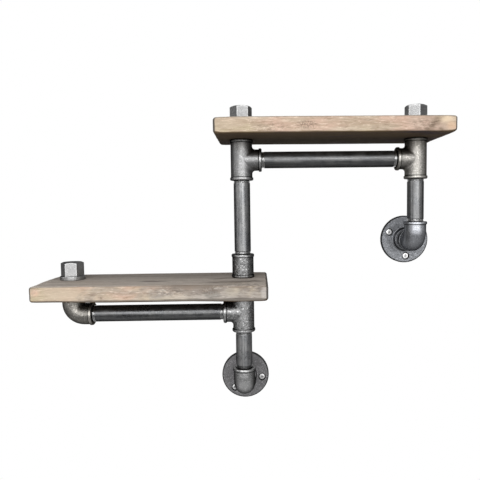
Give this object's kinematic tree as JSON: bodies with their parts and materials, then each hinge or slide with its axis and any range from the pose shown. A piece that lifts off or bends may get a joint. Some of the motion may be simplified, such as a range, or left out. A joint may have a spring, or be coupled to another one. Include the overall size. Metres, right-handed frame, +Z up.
{
  "type": "pipe shelving unit",
  "caption": "Wall shelving unit: wooden boards at staggered heights, clamped on a frame of screwed steel pipe that stands off the wall on round flanges.",
  "frame": {"origin": "centre of the lower wall flange's back face, on the wall", "axes": "+X to the right along the boards, +Y into the wall, +Z up; the front faces -Y"},
  "size_m": [0.6487, 0.1425, 0.5037],
  "materials": {
    "board_wood": "weathered reclaimed softwood, matt",
    "pipe_steel": "bare dark steel pipe, satin, with cut threads at its ends",
    "fitting_iron": "malleable iron, rough as cast",
    "cap_iron": "malleable iron, bare, satin on the flats",
    "flange_iron": "malleable iron, fine cast, bare"
  },
  "bodies": {
    "root": {"upper_shelf_board": "board_wood", "lower_shelf_board": "board_wood", "upper_rail_pipe": "pipe_steel", "lower_rail_pipe": "pipe_steel", "riser_pipe": "pipe_steel", "upper_drop_pipe": "pipe_steel", "lower_drop_pipe": "pipe_steel", "upper_left_board_nipple": "pipe_steel", "upper_right_board_nipple": "pipe_steel", "lower_left_board_nipple": "pipe_steel", "lower_right_board_nipple": "pipe_steel", "upper_wall_nipple": "pipe_steel", "lower_wall_nipple": "pipe_steel", "upper_left_tee": "fitting_iron", "upper_right_tee": "fitting_iron", "lower_tee": "fitting_iron", "lower_left_elbow": "fitting_iron", "upper_wall_elbow": "fitting_iron", "lower_wall_elbow": "fitting_iron", "riser_socket": "fitting_iron", "upper_left_hex_cap": "cap_iron", "upper_right_hex_cap": "cap_iron", "lower_left_hex_cap": "cap_iron", "upper_wall_flange": "flange_iron", "lower_wall_flange": "flange_iron"}
  },
  "joints": []
}
